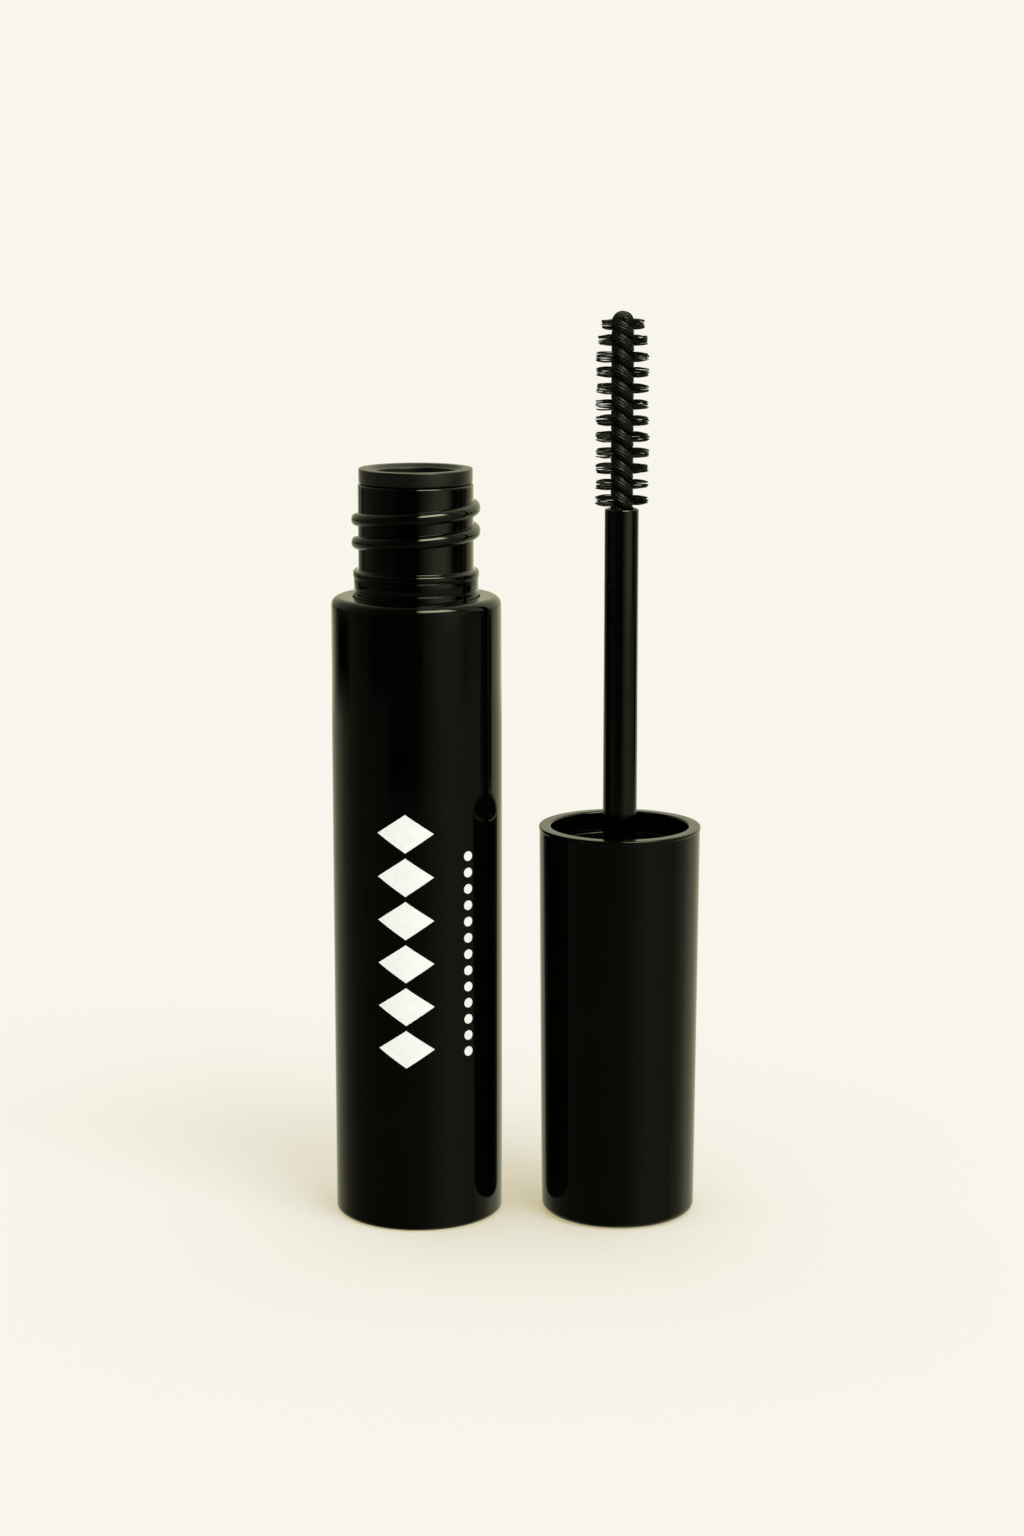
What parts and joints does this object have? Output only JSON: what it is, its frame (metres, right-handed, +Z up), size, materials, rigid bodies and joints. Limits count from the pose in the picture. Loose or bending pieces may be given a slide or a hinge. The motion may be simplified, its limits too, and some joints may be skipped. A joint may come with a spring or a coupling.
{
  "type": "mascara tube",
  "caption": "Opened mascara tube with a threaded neck and wiper, and beside it the upturned screw cap with stem and twisted-wire brush.",
  "frame": {"origin": "centre of the tube's base, on the surface it stands on", "axes": "+Z up along the tube's axis; +X towards the upturned cap and wand"},
  "size_m": [0.0391, 0.018, 0.0966],
  "materials": {
    "gloss_black": "high-gloss black moulded plastic",
    "satin_black": "satin black moulded plastic",
    "soft_black": "soft matt black polyethylene",
    "mascara_cream": "thick wet black cream",
    "liner_foam": "fine white closed-cell foam",
    "coated_wire": "black-coated steel wire",
    "nylon_black": "black nylon filaments"
  },
  "bodies": {
    "tube": {"outer_shell": "gloss_black", "base_plug": "satin_black", "inner_bottle": "gloss_black", "wiper": "soft_black", "mascara_formula": "mascara_cream"},
    "liner": {"seal_liner": "liner_foam"},
    "wand": {"outer_cap": "gloss_black", "inner_cap": "satin_black", "stem": "gloss_black", "core_wire": "coated_wire", "bristles": "nylon_black"}
  },
  "joints": [
    {"name": "wand_turnover", "type": "hinge", "parent": "tube", "child": "liner", "pos_m": [0.01077, 0, 0.106], "axis": [0, -1, 0], "range_deg": [0, 180]},
    {"name": "cap_turn", "type": "hinge", "parent": "liner", "child": "wand", "pos_m": [0.02153, 0, 0], "axis": [0, 0, 1], "range_deg": [0, 630]}
  ]
}
